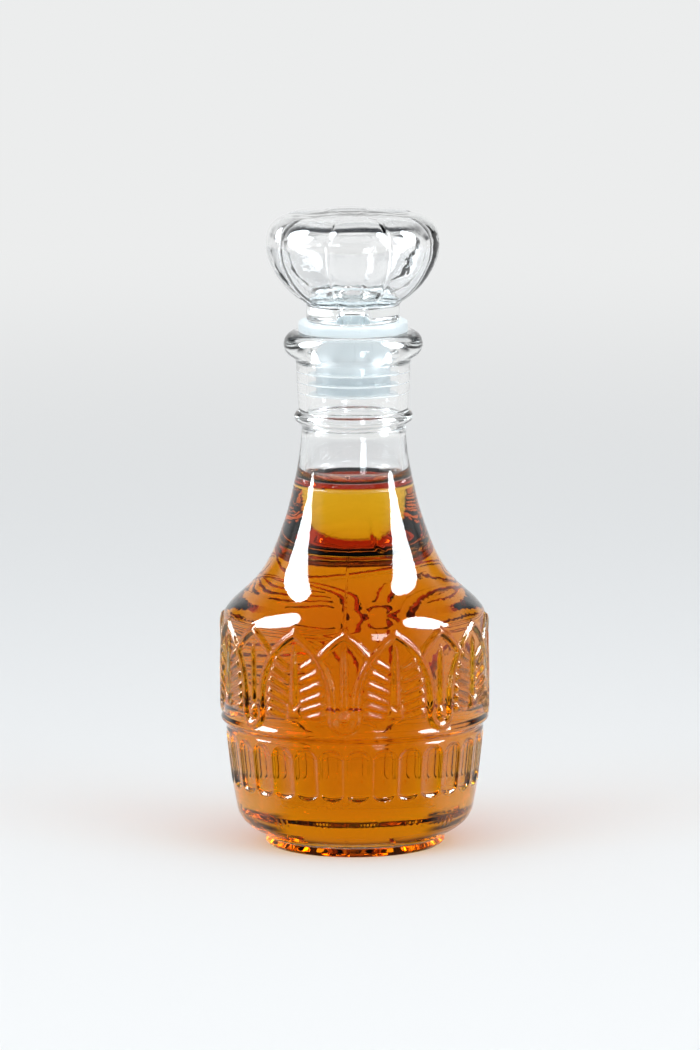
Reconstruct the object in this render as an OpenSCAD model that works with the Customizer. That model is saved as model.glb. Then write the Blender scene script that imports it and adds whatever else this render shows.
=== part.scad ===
// Pressed-glass table bottle for oil, with a hollow glass stopper on a plastic neck plug.
// Millimetres, +Z up. The origin is the middle of the ring that the bottle stands on.
// The mould seam, and with it one spire of the arcade, faces -Y.

/* [Foot and heel] */
// Height of the foot ring
foot_h = 3; // [2:0.5:5]
// Diameter of the foot ring
foot_d = 50.4; // [44:0.2:54]
// Rounding of the foot ring's lower edge
foot_round = 0.8; // [0.4:0.1:1.5]
// Width of the flat ring that the bottle stands on
bearing_w = 2.6; // [1.5:0.1:4]
// Height of the hollow pushed up under the bottle
pushup_h = 2.4; // [1.5:0.1:3]
// Height of the round heel above the foot
heel_h = 8.6; // [7:0.2:11]
// Diameter at the top of the heel
heel_d = 66.8; // [62:0.2:69]

/* [Fluted wall] */
// Height of the flared wall above the heel
wall_h = 21.6; // [19:0.2:26]
// Diameter at the top of the flared wall
wall_top_d = 72.2; // [70:0.2:73]
// Number of flutes round the wall
flute_count = 30; // [24:2:34]
// Height of the plain wall below the flutes
flute_gap = 6.1; // [4:0.1:8]
// Height of a flute up to the top of its round arch
flute_h = 14.6; // [11:0.1:15]
// Depth of a flute at its middle
flute_depth = 0.75; // [0.4:0.05:1]
// Width of the plain land between two flutes
flute_land = 0.7; // [0.5:0.05:1.2]

/* [Pattern band] */
// Largest diameter of the body, over the raised pattern
body_d = 75.6; // [74.8:0.2:80]
// Height of the ledge between the wall and the band
ledge_h = 3.8; // [3.2:0.1:5]
// Section radius of the bead on the ledge
ledge_bead_r = 0.95; // [0.7:0.05:1.2]
// Height of the band that carries the arches
band_h = 26.6; // [26:0.2:30]
// How far the pattern stands out from the glass
relief_h = 0.65; // [0.4:0.05:0.8]
// Number of arches round the band
arch_count = 8; // [8:1:9]
// Width of an arch between the middles of its ribs
arch_span = 22.4; // [20:0.1:22.6]
// Height of an arch's springing line above the ledge
arch_spring = 8.1; // [7.6:0.1:9]
// Width of an arch's rib
rib_w = 1.5; // [1:0.1:1.8]
// Width of the spire at its foot
spire_w = 2; // [1.4:0.1:2.4]
// Diameter of the drop below a spire
drop_d = 2.9; // [2.2:0.1:3]
// Height of the drop below a spire
drop_h = 4.3; // [3.6:0.1:4.6]
// Width of the pedestal at the foot of a leaf
pedestal_w = 4.2; // [3.4:0.1:4.6]
// Height of the pedestal's shoulders
pedestal_h = 7.7; // [6.5:0.1:8.5]
// Width of the leaf's midrib at its foot
midrib_w = 2.4; // [1.6:0.1:3]
// Lobes on each side of a leaf
lobe_count = 7; // [5:1:7]
// Thickness of a leaf lobe at its round tip
lobe_d = 2.1; // [1.6:0.1:2.2]
// How much higher a leaf lobe's tip is than its root
lobe_rise = 2.2; // [1:0.1:3]

/* [Shoulder and neck] */
// Height of the shoulder up to the waist where it turns into the neck
shoulder_h = 15.6; // [14:0.2:20]
// Diameter at that waist
waist_d = 49.2; // [46:0.2:53]
// Height of the tapering neck above the waist
neck_h = 39.3; // [34:0.2:48]
// Diameter of the neck at its slimmest
neck_d = 29; // [28:0.2:30]
// Height of the straight finish above the neck, up to the lip
finish_h = 19.5; // [17:0.2:24]
// Diameter of the finish just below the lip
finish_d = 32.1; // [31:0.1:33]
// Diameter of the bead at the foot of the finish
bead_d = 33.3; // [32.6:0.1:35]
// Section radius of that bead
bead_r = 1.65; // [1.2:0.05:1.9]
// Diameter of the rolled lip
lip_d = 39; // [38:0.2:42]
// Height of the rolled lip
lip_h = 6.8; // [5:0.1:7]

/* [Inside] */
// Wall thickness of the body
body_wall = 3.2; // [2.4:0.1:4]
// Thickness of the glass over the push-up
floor_t = 4.3; // [3:0.1:5]
// Diameter of the bore in the neck
bore_d = 25.4; // [24:0.1:26]
// Rounding of the mouth's edge
mouth_round = 1; // [0.4:0.1:1.4]
// Level of the oil above the table
oil_level = 102.4; // [70:0.2:112]
// Space between the oil and the glass in this model
oil_gap = 0.05; // [0.02:0.01:0.2]

/* [Stopper] */
// Diameter of the plug's flange
flange_d = 30.6; // [28:0.2:34]
// Thickness of the plug's flange
flange_t = 3; // [2:0.1:4]
// Rounding of the flange's upper edge
flange_round = 0.8; // [0.3:0.1:1.2]
// Diameter of the plug's sleeve
sleeve_d = 20.6; // [19:0.1:22]
// Depth of the plug below its flange
sleeve_h = 17.4; // [14:0.2:22]
// Wall and floor thickness of the sleeve
sleeve_wall = 1.2; // [0.8:0.1:1.6]
// Number of sealing fins
fin_count = 3; // [2:1:4]
// Height from one fin to the next
fin_pitch = 3; // [2:0.1:4]
// Thickness of a fin
fin_t = 0.6; // [0.4:0.1:1]
// Radial space between a fin and the bore
fin_gap = 0.06; // [0.03:0.01:0.1]
// Diameter of the knob's stem
stem_d = 26; // [24:0.2:28]
// Height of the knob's stem
stem_h = 4.6; // [3:0.1:7]
// Radial space between the shank and the sleeve
shank_gap = 0.03; // [0.02:0.01:0.1]
// Largest diameter of the knob, over its lobes
knob_d = 48.4; // [44:0.2:54]
// Height of the knob above its stem
knob_h = 25.4; // [23:0.2:30]
// Height of the knob's widest level above its stem
knob_mid = 17.2; // [15:0.2:19]
// Diameter of the knob's flat top
knob_top_d = 34.6; // [30:0.2:38]
// Diameter of the shallow dish in the knob's top
dish_d = 24; // [20:0.5:26]
// Depth of the dish
dish_depth = 0.5; // [0.3:0.1:0.8]
// Number of lobes round the knob
knob_lobes = 8; // [6:1:10]
// How far from the axis each lobe is centred, which sets how deep the grooves are
lobe_offset = 8; // [5:0.2:9]
// Wall thickness of the knob
knob_wall = 2.2; // [1.6:0.1:3]
// Thickness of the glass at the bottom of the knob's hollow
knob_floor = 5; // [3:0.1:7]
// Diameter of the blow hole through the stem and shank
blow_hole_d = 6; // [4:0.2:8]
// Turn of the stopper in the neck
knob_turn = 9.5; // [0:0.5:45]

/* [Hidden] */
$fn = 96;
glass_color = [0.86, 0.93, 0.93, 0.35];
oil_color = [0.88, 0.5, 0.06];
plug_color = [0.82, 0.9, 0.93];
knob_color = [0.88, 0.94, 0.95, 0.45];
curve_steps = 9;
arc_steps = 6;
start_turn = 3;

// Levels, each stacked on the one below
heel_z = foot_h;
wall_z = heel_z + heel_h;
ledge_z = wall_z + wall_h;
band_z = ledge_z + ledge_h;
shoulder_z = band_z + band_h;
waist_z = shoulder_z + shoulder_h;
finish_z = waist_z + neck_h;
lip_z = finish_z + finish_h;
lip_top = lip_z + lip_h;
floor_z = pushup_h + floor_t;

// The glass under the pattern
band_r = body_d / 2 - relief_h;
wall_lean = atan((wall_top_d - heel_d) / 2 / wall_h);
neck_wall = (neck_d - bore_d) / 2;
bead_z = finish_z + 1.5 * bead_r;
ledge_bead_z = (ledge_z + band_z + ledge_bead_r) / 2;
waist_slope = atan(0.5);
shoulder_pull = 5.3;
waist_pull = 7.2;
neck_pull = 0.5 * neck_h;
waist_wall = body_wall - 0.4;
pattern_gap = 0.4;

// One point and one outward normal of a cubic curve
function curve_point(c, t) =
    pow(1 - t, 3) * c[0] + 3 * pow(1 - t, 2) * t * c[1] + 3 * (1 - t) * t * t * c[2] + pow(t, 3) * c[3];
function curve_heading(c, t) =
    pow(1 - t, 2) * (c[1] - c[0]) + 2 * (1 - t) * t * (c[2] - c[1]) + t * t * (c[3] - c[2]);
function outward(v) = [v[1], -v[0]] / norm(v);

// Points along a curve, moved inwards by a thickness that goes from t0 to t1
function curve_inside(c, t0, t1, steps = curve_steps) = [
    for (i = [0 : steps])
        let (t = i / steps)
        curve_point(c, t) - (t0 + (t1 - t0) * t) * outward(curve_heading(c, t))
];
function arc(center, r, from, to, steps) = [
    for (i = [0 : steps])
        let (a = from + (to - from) * i / steps)
        center + r * [cos(a), sin(a)]
];

// Both curves of the silhouette leave the waist along one line, up and inwards
waist_way = [-sin(waist_slope), cos(waist_slope)];
waist_point = [waist_d / 2, waist_z];
shoulder_curve = [
    [band_r, shoulder_z],
    [band_r, shoulder_z + shoulder_pull],
    waist_point - waist_pull * waist_way,
    waist_point
];
neck_curve = [
    waist_point,
    waist_point + neck_pull * waist_way,
    [neck_d / 2, finish_z - neck_pull / 4],
    [neck_d / 2, finish_z]
];

// The heel swells fast above the foot and then eases into the wall
heel_points = [
    for (i = [0 : curve_steps])
        let (u = i / curve_steps)
        [foot_d / 2 + (heel_d - foot_d) / 2 * sin(90 * pow(u, 0.8)), heel_z + heel_h * u]
];

// Outline of the solid bottle, from the axis below to the axis above
outside = concat(
    [[0, pushup_h]],
    [[foot_d / 2 - foot_round - bearing_w - pushup_h, pushup_h]],
    [[foot_d / 2 - foot_round - bearing_w, 0]],
    arc([foot_d / 2 - foot_round, foot_round], foot_round, -90, 0, 3),
    heel_points,
    [[wall_top_d / 2, ledge_z]],
    arc([band_r - ledge_bead_r / 2, ledge_bead_z], ledge_bead_r, -90, 60, arc_steps),
    [[band_r, band_z], [band_r, shoulder_z]],
    [for (i = [1 : curve_steps]) curve_point(shoulder_curve, i / curve_steps)],
    [for (i = [1 : curve_steps]) curve_point(neck_curve, i / curve_steps)],
    [[finish_d / 2, lip_z]],
    arc([lip_d / 2 - lip_h / 2, lip_z + lip_h / 2], lip_h / 2, -90, 90, 2 * arc_steps),
    [[0, lip_top]]
);

// Inside of the heel, from the flat floor up to the straight wall
heel_inside = [
    [foot_d / 2 - bearing_w - 5, floor_z],
    [heel_d / 2 - body_wall - 3, floor_z],
    [heel_d / 2 - body_wall, floor_z + heel_h / 2],
    [heel_d / 2 + heel_h / 2 * tan(wall_lean) - body_wall, wall_z + heel_h / 2]
];

// Outline of the hollow, which stays a space of size gap inside the glass
function inside(gap) = let (wall = body_wall + gap) concat(
    [[0, floor_z + gap]],
    curve_inside(heel_inside, gap, gap),
    [[wall_top_d / 2 - wall, ledge_z]],
    [[band_r - wall, band_z]],
    curve_inside(shoulder_curve, wall, waist_wall + gap),
    [for (p = curve_inside(neck_curve, waist_wall + gap, neck_wall + gap)) if (p[1] > waist_z) p],
    arc([bore_d / 2 + mouth_round, lip_top - mouth_round], mouth_round + gap, 180, 90, 4),
    [[bore_d / 2 + mouth_round, lip_top + 1], [0, lip_top + 1]]
);

// Places its child, drawn round the line x = 0 and facing -Y, at an angle round the bottle
module around(angle) {
    rotate([0, 0, angle])
        children();
}

// A flat outline in x and z, pushed out from within the wall through the front of the body
module pushed_out() {
    translate([0, -band_r + waist_wall, 0])
        rotate([90, 0, 0])
            linear_extrude(height = body_wall + relief_h)
                children();
}

// A round bar from a to b
module tapered_bar(a, b, r_a, r_b) {
    way = b - a;
    translate(a)
        rotate([0, acos(way[2] / norm(way)), atan2(way[1], way[0])])
            cylinder(h = norm(way), r1 = r_a, r2 = r_b);
}

// One flute is a round-bottomed channel with an arched top and a square foot
flute_pitch = 360 / flute_count;
flute_mid_r = (heel_d / 2 + wall_top_d / 2) / 2;
flute_w = 2 * flute_mid_r * sin(flute_pitch / 2) - flute_land;
flute_drop = flute_depth - (flute_mid_r - sqrt(pow(flute_mid_r, 2) - pow(flute_w / 2, 2)));
flute_r = pow(flute_w / 2, 2) / (2 * flute_drop) + flute_drop / 2;
flute_straight = flute_h - flute_w / 2;

module flute_cutter() {
    translate([0, -heel_d / 2 + flute_depth, wall_z])
        rotate([wall_lean, 0, 0])
            translate([0, -flute_r, flute_gap])
                intersection() {
                    rotate_extrude() {
                        square([flute_r, flute_straight]);
                        intersection() {
                            translate([0, flute_straight])
                                circle(r = flute_r);
                            square([flute_r, flute_straight + flute_r]);
                        }
                    }
                    translate([-flute_w / 2 - 0.15, flute_r - flute_depth - 1, -1])
                        cube([flute_w + 0.3, flute_depth + 2, flute_h + 2]);
                }
}

// The arcade: pointed arches whose ribs run down and join in a round loop under each spire
arch_pitch = 360 / arch_count;
spring_z = band_z + arch_spring;
limb_angle = asin(arch_span / 2 / band_r);
loop_r = band_r * sin(arch_pitch / 2 - limb_angle);
loop_z = band_z + pattern_gap + rib_w / 2 + loop_r;
arch_tip_z = spring_z + arch_span * sin(60);
crossing_x = band_r * sin(arch_pitch / 4);

module pointed_arch(span, grow) {
    intersection() {
        translate([-span / 2, spring_z])
            circle(r = span + grow);
        translate([span / 2, spring_z])
            circle(r = span + grow);
        translate([-span, spring_z])
            square([2 * span, 2 * span]);
    }
}

module arch_rib() {
    difference() {
        pointed_arch(arch_span, rib_w / 2);
        pointed_arch(arch_span, -rib_w / 2);
    }
}

module loop_rib() {
    difference() {
        union() {
            translate([0, loop_z])
                circle(r = loop_r + rib_w / 2);
            translate([-loop_r - rib_w / 2, loop_z])
                square([2 * loop_r + rib_w, spring_z - loop_z]);
        }
        translate([0, loop_z])
            circle(r = loop_r - rib_w / 2);
        translate([-loop_r + rib_w / 2, loop_z])
            square([2 * loop_r - rib_w, spring_z - loop_z + 1]);
    }
}

// The top of an arch of the row behind, which shows between two arches of the front row
module rear_arch_tip() {
    intersection() {
        arch_rib();
        translate([-crossing_x, spring_z])
            square([2 * crossing_x, arch_span]);
    }
}

// A slim upright blade that stands on z = low and ends in a point at z = tip
module blade(width, low, tip) {
    shoulder_x = 0.3 * width;
    polygon([
        [-width / 2, low], [width / 2, low], [shoulder_x, tip - 2.2], [0, tip], [-shoulder_x, tip - 2.2]
    ]);
}

spire_low = loop_z + drop_h / 2 + 0.8;
spire_tip = arch_tip_z - 4;
midrib_low = band_z + pedestal_h - 0.8;
midrib_tip = arch_tip_z - 3.4;

// The pedestal's top is notched, and the leaf's midrib grows out of the notch
module pedestal() {
    half = pedestal_w / 2;
    notch = 1.6;
    translate([0, band_z])
        polygon([
            [-half, pattern_gap], [half, pattern_gap],
            [half, pedestal_h], [0, pedestal_h - notch], [-half, pedestal_h]
        ]);
}

// Everything flat in the pattern, trimmed to one even height above the glass
module arcade() {
    intersection() {
        translate([0, 0, band_z])
            cylinder(h = 2 * band_h, d = body_d);
        union() {
            for (i = [0 : arch_count - 1]) {
                around((i + 0.5) * arch_pitch)
                    pushed_out() {
                        arch_rib();
                        pedestal();
                        blade(midrib_w, midrib_low, midrib_tip);
                    }
                around(i * arch_pitch)
                    pushed_out() {
                        loop_rib();
                        rear_arch_tip();
                        blade(spire_w, spire_low, spire_tip);
                    }
            }
        }
    }
}

// The lobes of a leaf lie on the glass beside the midrib, and their thick tips follow the arch
lobe_sink = lobe_d / 2 - relief_h;
lobe_low = band_z + 0.8 * lobe_d;
lobe_high = arch_tip_z - 7.4;
leaf_gap = 1.6;
root_gap = 0.9;
root_share = 0.72;
function arch_inside(z) =
    z < spring_z ? arch_span / 2 - rib_w / 2
    : sqrt(pow(arch_span - rib_w / 2, 2) - pow(z - spring_z, 2)) - arch_span / 2;
function on_band(x, z) =
    let (r = band_r - lobe_sink, a = x / band_r * 180 / PI)
    [r * sin(a), -r * cos(a), z];

module leaf_lobes(side) {
    for (i = [0 : lobe_count - 1]) {
        z = lobe_low + (lobe_high - lobe_low) * i / (lobe_count - 1);
        tip_x = arch_inside(z) - leaf_gap;
        root_x = min(pedestal_w / 2 + root_gap, 0.6 * tip_x);
        drop_to_root = lobe_rise * (tip_x - root_x) / (arch_span / 2 - pedestal_w / 2);
        tapered_bar(
            on_band(side * root_x, z - drop_to_root),
            on_band(side * tip_x, z),
            root_share * lobe_d / 2,
            lobe_d / 2
        );
    }
}

// The drop is a short upright bar with round ends, sunk until it stands as high as the ribs
module drop() {
    straight = drop_h - drop_d;
    translate([0, -body_d / 2 + drop_d / 2, loop_z - straight / 2])
        rotate_extrude()
            intersection() {
                union() {
                    circle(d = drop_d);
                    translate([-drop_d / 2, 0])
                        square([drop_d, straight]);
                    translate([0, straight])
                        circle(d = drop_d);
                }
                translate([0, -drop_d])
                    square([drop_d, 3 * drop_d]);
            }
}

module bottle() {
    color(glass_color)
        difference() {
            union() {
                // The line where the revolved glass starts is turned out of the middle of a spire
                rotate([0, 0, start_turn])
                    rotate_extrude()
                        polygon(outside);
                translate([0, 0, bead_z])
                    rotate_extrude()
                        translate([bead_d / 2 - bead_r, 0])
                            circle(r = bead_r);
                arcade();
                for (i = [0 : arch_count - 1]) {
                    around(i * arch_pitch)
                        drop();
                    around((i + 0.5) * arch_pitch) {
                        leaf_lobes(-1);
                        leaf_lobes(1);
                    }
                }
            }
            rotate_extrude()
                polygon(inside(0));
            for (i = [0 : flute_count - 1])
                around((i + 0.5) * flute_pitch)
                    flute_cutter();
        }
}

module oil() {
    color(oil_color)
        intersection() {
            rotate_extrude()
                polygon(inside(oil_gap));
            cylinder(h = oil_level, d = body_d);
        }
}

// The plug hangs from its flange on the lip; its fins seal against the bore
plug_low = lip_top - sleeve_h;
module stopper_plug() {
    flange_r = flange_d / 2;
    socket_r = sleeve_d / 2 - sleeve_wall;
    color(plug_color)
        difference() {
            union() {
                translate([0, 0, plug_low])
                    cylinder(h = sleeve_h + flange_t, d = sleeve_d);
                translate([0, 0, lip_top])
                    rotate_extrude()
                        polygon(concat(
                            [[0, 0], [flange_r, 0]],
                            arc([flange_r - flange_round, flange_t - flange_round], flange_round, 0, 90, 4),
                            [[0, flange_t]]
                        ));
                for (i = [0 : fin_count - 1])
                    translate([0, 0, plug_low + i * fin_pitch])
                        cylinder(h = fin_t, r = bore_d / 2 - fin_gap);
            }
            translate([0, 0, plug_low + sleeve_wall])
                cylinder(h = sleeve_h + flange_t, r = socket_r);
        }
}

// Outline of the knob over the crests of its lobes
stem_z = lip_top + flange_t;
knob_z = stem_z + stem_h;
knob_top = knob_z + knob_h;
knob_mid_z = knob_z + knob_mid;
knob_skirt = [
    [stem_d / 2, knob_z],
    [knob_d / 2 - 4, knob_z + 0.32 * knob_mid],
    [knob_d / 2, knob_mid_z - 0.45 * knob_mid],
    [knob_d / 2, knob_mid_z]
];
knob_crown = [
    [knob_d / 2, knob_mid_z],
    [knob_d / 2, knob_top - 2.6],
    [knob_top_d / 2 + 3.6, knob_top],
    [knob_top_d / 2, knob_top]
];
knob_steps = 8;
function knob_points(thickness) = concat(
    curve_inside(knob_skirt, thickness, thickness, knob_steps),
    [for (p = curve_inside(knob_crown, thickness, thickness, knob_steps)) if (p[1] > knob_mid_z) p]
);

// One lobe is round about a line of its own, and keeps to its share of the knob
lobe_half = 180 / knob_lobes;
module knob_lobe() {
    intersection() {
        translate([lobe_offset, 0, 0])
            rotate_extrude()
                polygon(concat(
                    [[0, knob_z]],
                    [for (p = knob_points(0)) p - [lobe_offset, 0]],
                    [[0, knob_top]]
                ));
        translate([0, 0, knob_z])
            linear_extrude(height = knob_h)
                polygon(knob_d * [
                    [0, 0],
                    [cos(lobe_half), -sin(lobe_half)],
                    [cos(lobe_half), sin(lobe_half)]
                ]);
    }
}

// The hollow keeps the wall's thickness under the grooves between the lobes
module knob_hollow() {
    groove_depth = (knob_d / 2 - lobe_offset) * (1 - cos(lobe_half)) + 0.2;
    skin = knob_wall + groove_depth;
    rotate_extrude()
        polygon(concat(
            [[0, knob_z + knob_floor]],
            [for (p = knob_points(skin)) if (p[1] > knob_z + knob_floor) p],
            [[0, knob_top - skin]]
        ));
}

module stopper_knob() {
    shank_r = sleeve_d / 2 - sleeve_wall - shank_gap;
    shank_low = plug_low + 2 * sleeve_wall;
    color(knob_color)
        rotate([0, 0, knob_turn])
            difference() {
                union() {
                    for (i = [0 : knob_lobes - 1])
                        rotate([0, 0, -90 + i * 360 / knob_lobes])
                            knob_lobe();
                    translate([0, 0, stem_z])
                        cylinder(h = stem_h, d = stem_d);
                    // A core through the middle, where the lobes meet
                    translate([0, 0, stem_z])
                        cylinder(h = knob_top - stem_z, d = lobe_offset);
                    translate([0, 0, shank_low])
                        cylinder(h = stem_z - shank_low, r = shank_r);
                }
                knob_hollow();
                translate([0, 0, shank_low - 1])
                    cylinder(h = knob_z + knob_floor + 2 - shank_low, d = blow_hole_d);
                translate([0, 0, knob_top - dish_depth])
                    cylinder(h = 2 * dish_depth, d1 = 0.3 * dish_d, d2 = 1.7 * dish_d);
            }
}

bottle();
oil();
stopper_plug();
stopper_knob();
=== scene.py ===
# %% [markdown]
# # A pressed-glass oil bottle
#
# The object is a small table bottle of clear pressed glass, filled with amber oil and closed by a
# hollow lobed glass knob on a soft plastic plug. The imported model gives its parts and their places.
# Here each part gets the fine shape and the finish that it has in the hand, and one studio shot.
# Every shape below is worked out in millimetres as a function on a grid, and turned to metres once.

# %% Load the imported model
import bpy
import numpy as np
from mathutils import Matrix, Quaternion, Vector


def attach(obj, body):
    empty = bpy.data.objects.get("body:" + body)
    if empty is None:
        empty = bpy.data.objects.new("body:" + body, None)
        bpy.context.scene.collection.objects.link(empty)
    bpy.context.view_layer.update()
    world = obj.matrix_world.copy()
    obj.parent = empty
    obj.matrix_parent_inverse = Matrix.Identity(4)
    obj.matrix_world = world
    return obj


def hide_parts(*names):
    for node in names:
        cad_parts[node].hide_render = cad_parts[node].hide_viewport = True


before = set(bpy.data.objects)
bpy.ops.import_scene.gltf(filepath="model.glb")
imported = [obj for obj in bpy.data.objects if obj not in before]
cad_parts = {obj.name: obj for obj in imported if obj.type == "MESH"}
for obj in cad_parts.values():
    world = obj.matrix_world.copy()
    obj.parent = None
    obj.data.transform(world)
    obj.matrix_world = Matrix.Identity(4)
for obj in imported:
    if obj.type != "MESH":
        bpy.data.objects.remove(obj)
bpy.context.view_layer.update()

# %% [markdown]
# ## Curves for profiles
#
# Everything on this bottle was turned or moulded round one axis, so a piece starts as a profile: a
# list of (radius, height) points. Three small functions make profiles. One draws a smooth line
# through measured points, one draws a round arc, and one takes the hard edge off a corner, because
# a glass edge is never sharp and a lamp always finds the rounding.

# %% Profile helpers
MM = 0.001


def smooth_through(known_z, known_r, z):
    """Radius at each height z on a smooth line through known points. Between two points it is the
    cubic that has their values and slopes, and each slope is the harmonic mean of the slopes on its
    two sides, or zero at a turn."""
    known_z, known_r = np.asarray(known_z, float), np.asarray(known_r, float)
    step = np.diff(known_z)
    rise = np.diff(known_r) / step
    left, right = rise[:-1], rise[1:]
    same_way = left * right > 0
    inner = np.where(same_way, 2 * left * right / np.where(same_way, left + right, 1), 0)
    slope = np.concatenate([rise[:1], inner, rise[-1:]])
    i = np.clip(np.searchsorted(known_z, z, side="right") - 1, 0, len(step) - 1)
    t = (z - known_z[i]) / step[i]
    return (
        (1 + 2 * t) * (1 - t) ** 2 * known_r[i]
        + t * (1 - t) ** 2 * step[i] * slope[i]
        + t * t * (3 - 2 * t) * known_r[i + 1]
        + t * t * (t - 1) * step[i] * slope[i + 1]
    )


def arc(center_r, center_z, radius, start, end, count):
    """Points on a circle: the centre plus the radius times the cosine and sine of an angle that goes
    from start to end."""
    a = np.radians(np.linspace(start, end, count))
    return np.stack([center_r + radius * np.cos(a), center_z + radius * np.sin(a)], -1)


def eased(points, reach, count=4):
    """The polyline with each inner corner replaced by a small parabola that starts and ends reach
    millimetres from it."""
    points = np.asarray(points, float)
    before, corner, after = points[:-2], points[1:-1], points[2:]
    back, ahead = before - corner, after - corner
    back_length = np.linalg.norm(back, axis=1, keepdims=True)
    ahead_length = np.linalg.norm(ahead, axis=1, keepdims=True)
    reach = np.broadcast_to(np.asarray(reach, float), len(corner))[:, None]
    start = corner + back / back_length * np.minimum(reach, 0.45 * back_length)
    end = corner + ahead / ahead_length * np.minimum(reach, 0.45 * ahead_length)
    t = np.linspace(0, 1, count)[None, :, None]
    bends = (1 - t) ** 2 * start[:, None] + 2 * t * (1 - t) * corner[:, None] + t * t * end[:, None]
    return np.concatenate([points[:1], bends.reshape(-1, 2), points[-1:]])


print("an arc of 1 mm from 0 to 90 degrees:", np.round(arc(0, 0, 1, 0, 90, 3), 2).tolist())
# %% [markdown]
# ## A skin from rings
#
# A profile becomes a surface when each of its points is carried round the axis as a ring. Most of
# the bottle is plain and needs few columns, while the pattern needs many. So a piece is built from
# blocks of rings, and where a fine block meets a coarse one, one wide face takes several narrow
# edges. The first and the last ring close in a pole, which leaves no hole anywhere.

# %% Mesh helpers
def block(radius, height, columns, turn=0.0):
    """Rings round the axis. Column j is at the angle turn - 90 + 360 j / columns degrees, so column 0
    faces -Y. radius and height hold one number a ring, or one a point."""
    a = np.radians(turn - 90 + 360 * np.arange(columns) / columns)
    radius, height = (
        np.broadcast_to(np.asarray(v, float).reshape(len(v), -1), (len(v), columns)) for v in (radius, height)
    )
    return np.stack([radius * np.cos(a), radius * np.sin(a), height], -1)


def ring_faces(first, rings, columns):
    """Four-sided faces of one block: corner (i, j), its neighbour round the ring, and the two points
    above them."""
    i, j = np.meshgrid(np.arange(rings - 1), np.arange(columns), indexing="ij")
    low = first + i * columns
    near, far = low + j, low + (j + 1) % columns
    return np.stack([near, far, far + columns, near + columns], -1).reshape(-1, 4)


def seam_faces(lower, lower_columns, upper, upper_columns):
    """Faces between two rings. Where one ring has k times the columns of the other, each face has
    k + 3 corners."""
    coarse = min(lower_columns, upper_columns)
    j = np.arange(coarse)[:, None]
    low_step, up_step = lower_columns // coarse, upper_columns // coarse
    below = lower + (j * low_step + np.arange(low_step + 1)) % lower_columns
    above = upper + (j * up_step + np.arange(up_step, -1, -1)) % upper_columns
    return np.concatenate([below, above], 1)


def skin(name, blocks, first_pole, last_pole, contact=None):
    """One closed mesh from blocks of rings, which run with the outside on their right. The poles are
    the heights at which the first and last rings close on the axis. contact holds 0 or 1 for each
    block: 1 where its faces touch the oil."""
    starts = np.cumsum([1] + [b.shape[0] * b.shape[1] for b in blocks])
    points = np.concatenate([[[0, 0, first_pole]], *[b.reshape(-1, 3) for b in blocks], [[0, 0, last_pole]]])
    contact = contact or [0] * len(blocks)
    groups, touching = [], []

    def add(faces, touches):
        groups.extend(faces.tolist())
        touching.extend([float(touches)] * len(faces))

    columns = blocks[0].shape[1]
    j = np.arange(columns)
    add(np.stack([np.zeros_like(j), 1 + (j + 1) % columns, 1 + j], -1), contact[0])
    for k, b in enumerate(blocks):
        add(ring_faces(starts[k], b.shape[0], b.shape[1]), contact[k])
        if k + 1 < len(blocks):
            last_ring = starts[k + 1] - b.shape[1]
            add(seam_faces(last_ring, b.shape[1], starts[k + 1], blocks[k + 1].shape[1]), contact[k + 1])
    columns = blocks[-1].shape[1]
    j = np.arange(columns)
    last_ring = starts[-1] - columns
    last_fan = [last_ring + j, last_ring + (j + 1) % columns, np.full_like(j, starts[-1])]
    add(np.stack(last_fan, -1), contact[-1])

    mesh = bpy.data.meshes.new(name)
    mesh.from_pydata((points * MM).tolist(), [], groups)
    mesh.attributes.new("contact", "FLOAT", "FACE").data.foreach_set("value", touching)
    mesh.polygons.foreach_set("use_smooth", [True] * len(groups))
    mesh.update()
    piece = bpy.data.objects.new(name, mesh)
    bpy.context.scene.collection.objects.link(piece)
    triangles = sum(len(g) - 2 for g in groups)
    size = [round(v, 2) for v in (points.max(0) - points.min(0))]
    print(f"{name}: {len(points)} points, {triangles} triangles, {size} mm")
    return piece


print("a block of 2 rings of 4 columns has", len(ring_faces(1, 2, 4)), "faces")

# %% [markdown]
# ## The bottle's outline
#
# The bottle was pressed and blown in a two-part iron mould, and its silhouette is a string of
# simple forms: a foot ring, a quickly swelling heel, a slightly flared wall, a beaded ledge, a
# straight band for the pattern, and a shoulder that sweeps up into the neck. A smooth line through
# measured points follows it better than arcs that are guessed one by one.

# %% Outline of the bottle
BAND_R = 37.15
LEDGE_LOW, LEDGE_TOP = 33.0, 37.2
SHOULDER_Z = 63.6

body_z = [3.0, 3.6, 4.7, 5.9, 7.0, 8.2, 9.3, 10.4, 11.6, 13.9, 16.2, 19.6, 23.0, 27.0, 31.0, 33.0]
body_r = [
    25.5, 26.3, 28.6, 30.3, 31.5, 32.3, 32.85, 33.2, 33.42, 33.85, 34.25, 34.75, 35.15, 35.6, 36.0, 36.1,
]
shoulder_z = [
    63.6, 65.3, 67.0, 68.7, 71.0, 73.3, 75.5, 77.8, 80.1, 82.3, 84.6, 86.9,
    89.2, 93.7, 98.2, 102.8, 107.0, 111.5, 116.0, 119.0,
]
shoulder_r = [
    37.15, 36.72, 35.75, 34.35, 31.85, 29.35, 27.25, 25.5, 24.15, 23.0, 22.0, 21.1,
    20.3, 18.8, 17.6, 16.6, 15.7, 15.05, 14.6, 14.5,
]


def ledge_radius(z):
    """The ledge under the pattern: a concave recess above the wall, then a round bead, then the
    straight band."""
    known = [33.0, 33.7, 34.5, 35.1, 35.6, 36.2, 36.8, 37.2]
    return smooth_through(known, [36.1, 35.75, 35.9, 36.6, 37.35, 37.6, 37.35, 37.15], z)


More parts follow.
